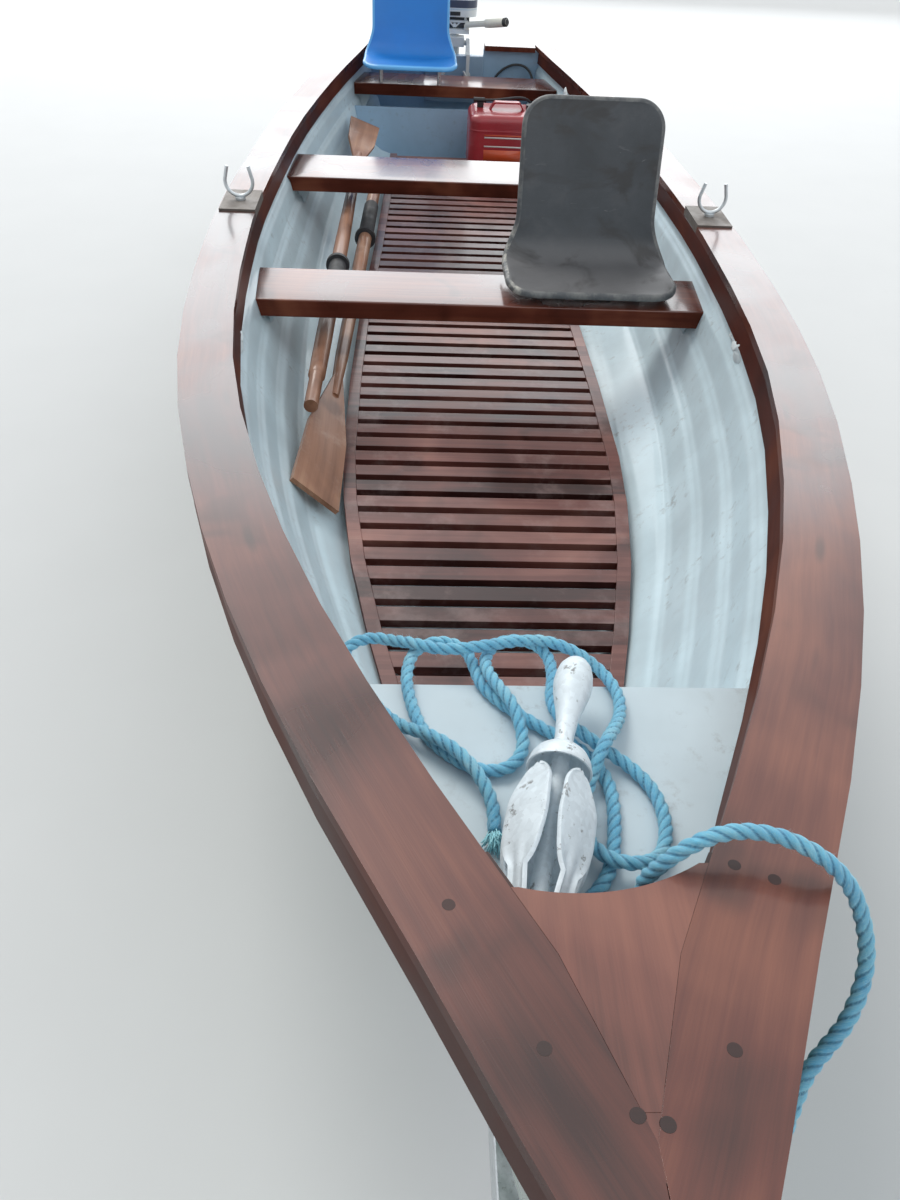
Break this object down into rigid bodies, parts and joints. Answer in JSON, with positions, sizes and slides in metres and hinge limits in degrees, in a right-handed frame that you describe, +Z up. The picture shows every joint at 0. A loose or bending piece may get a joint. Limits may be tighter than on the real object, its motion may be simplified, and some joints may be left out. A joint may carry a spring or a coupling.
{
  "type": "rowing boat on its road trailer",
  "caption": "Open clinker rowing boat with timber decks, thwarts and floor grating, oars, bucket seats, anchor and outboard, on a galvanised road trailer.",
  "frame": {"origin": "on the ground, in the middle of the whole length and width", "axes": "+X to the bow, +Y to port, +Z up"},
  "size_m": [5.529, 1.48, 1.165],
  "materials": {
    "hull_grp": "painted, satin",
    "stem_green": "painted, gloss",
    "grp_grey": "painted, satin",
    "deck_wood": "stained, gloss",
    "rail_wood": "stained, satin",
    "slat_wood": "stained, worn",
    "pad_wood": "bare",
    "oar_wood": "worn varnish",
    "black_rubber": "matt",
    "seat_black": "scuffed, satin",
    "seat_blue": "moulded, satin",
    "galvanised": "hot-dip galvanised",
    "tank_red": "gloss",
    "black_plastic": "satin",
    "motor_white": "gloss",
    "motor_dark": "satin",
    "motor_alloy": "painted, worn",
    "tiller_cream": "satin",
    "tyre": "matt",
    "rim_white": "satin",
    "rope_blue": "fuzzy laid rope",
    "hose_black": "satin"
  },
  "bodies": {
    "rowlock_starboard": {"rowlock_starboard": "galvanised"},
    "rowlock_port": {"rowlock_port": "galvanised"},
    "motor_swivel": {"motor_swivel": "motor_alloy"},
    "motor": {"motor_leg": "motor_white", "motor_cowl": "motor_white", "engine_block": "motor_dark", "tiller": "tiller_cream"},
    "propeller": {"propeller": "motor_alloy"},
    "wheel_starboard": {"rim_starboard": "rim_white", "tyre_starboard": "tyre"},
    "wheel_port": {"rim_port": "rim_white", "tyre_port": "tyre"},
    "prop_stand": {"prop_stand": "galvanised"},
    "root": {"hull": "hull_grp", "keel": "stem_green", "side_deck_port": "deck_wood", "side_deck_starboard": "deck_wood", "foredeck": "deck_wood", "rub_rails": "rail_wood", "inwales": "rail_wood", "transom": "hull_grp", "transom_cap": "deck_wood", "motor_pad": "pad_wood", "thwart_knees": "grp_grey", "thwart_forward": "deck_wood", "thwart_mid": "deck_wood", "thwart_aft": "deck_wood", "bow_locker": "grp_grey", "aft_bulkhead": "grp_grey", "floor_grating": "slat_wood", "rowlock_sockets": "grp_grey", "oar_forward_blade": "oar_wood", "oar_aft_blade": "oar_wood", "oar_sleeves": "black_rubber", "seat_black": "seat_black", "seat_blue": "seat_blue", "seat_mounts": "galvanised", "fuel_tank": "tank_red", "tank_fittings": "black_plastic", "anchor": "galvanised", "motor_clamp": "motor_alloy", "trailer_frame": "galvanised", "bow_snubber": "black_rubber", "hand_winch": "galvanised", "hull_bunks": "black_rubber", "keel_rollers": "black_rubber", "roller_brackets": "galvanised", "suspension_arms": "galvanised", "mudguards": "galvanised", "stand_bracket": "galvanised", "ball_coupling": "galvanised", "bow_eye": "galvanised", "painter": "rope_blue", "mooring_rope": "rope_blue", "fuel_hose": "hose_black", "hose_connector": "black_plastic"}
  },
  "joints": [
    {"name": "rowlock_starboard_swivel", "type": "hinge", "parent": "root", "child": "rowlock_starboard", "pos_m": [-0.2955, -0.616, 0.82], "axis": [0, 0, 1], "continuous": true},
    {"name": "rowlock_port_swivel", "type": "hinge", "parent": "root", "child": "rowlock_port", "pos_m": [-0.2955, 0.616, 0.82], "axis": [0, 0, 1], "continuous": true},
    {"name": "motor_tilt", "type": "hinge", "parent": "root", "child": "motor_swivel", "pos_m": [-2.4485, 0, 0.812], "axis": [0, 1, 0], "range_deg": [0, 12]},
    {"name": "motor_steer", "type": "hinge", "parent": "motor_swivel", "child": "motor", "pos_m": [-2.4945, 0, 0.7], "axis": [0, 0, 1], "range_deg": [-45, 45]},
    {"name": "propeller_spin", "type": "hinge", "parent": "motor", "child": "propeller", "pos_m": [-2.7245, 0, 0.265], "axis": [1, 0, 0], "continuous": true},
    {"name": "wheel_starboard_spin", "type": "hinge", "parent": "root", "child": "wheel_starboard", "pos_m": [-1.1455, -0.664, 0.21], "axis": [0, 1, 0], "continuous": true},
    {"name": "wheel_port_spin", "type": "hinge", "parent": "root", "child": "wheel_port", "pos_m": [-1.1455, 0.664, 0.21], "axis": [0, 1, 0], "continuous": true},
    {"name": "prop_stand_fold", "type": "hinge", "parent": "root", "child": "prop_stand", "pos_m": [2.4545, 0.07, 0.238], "axis": [0, 1, 0], "range_deg": [0, 95]}
  ]
}
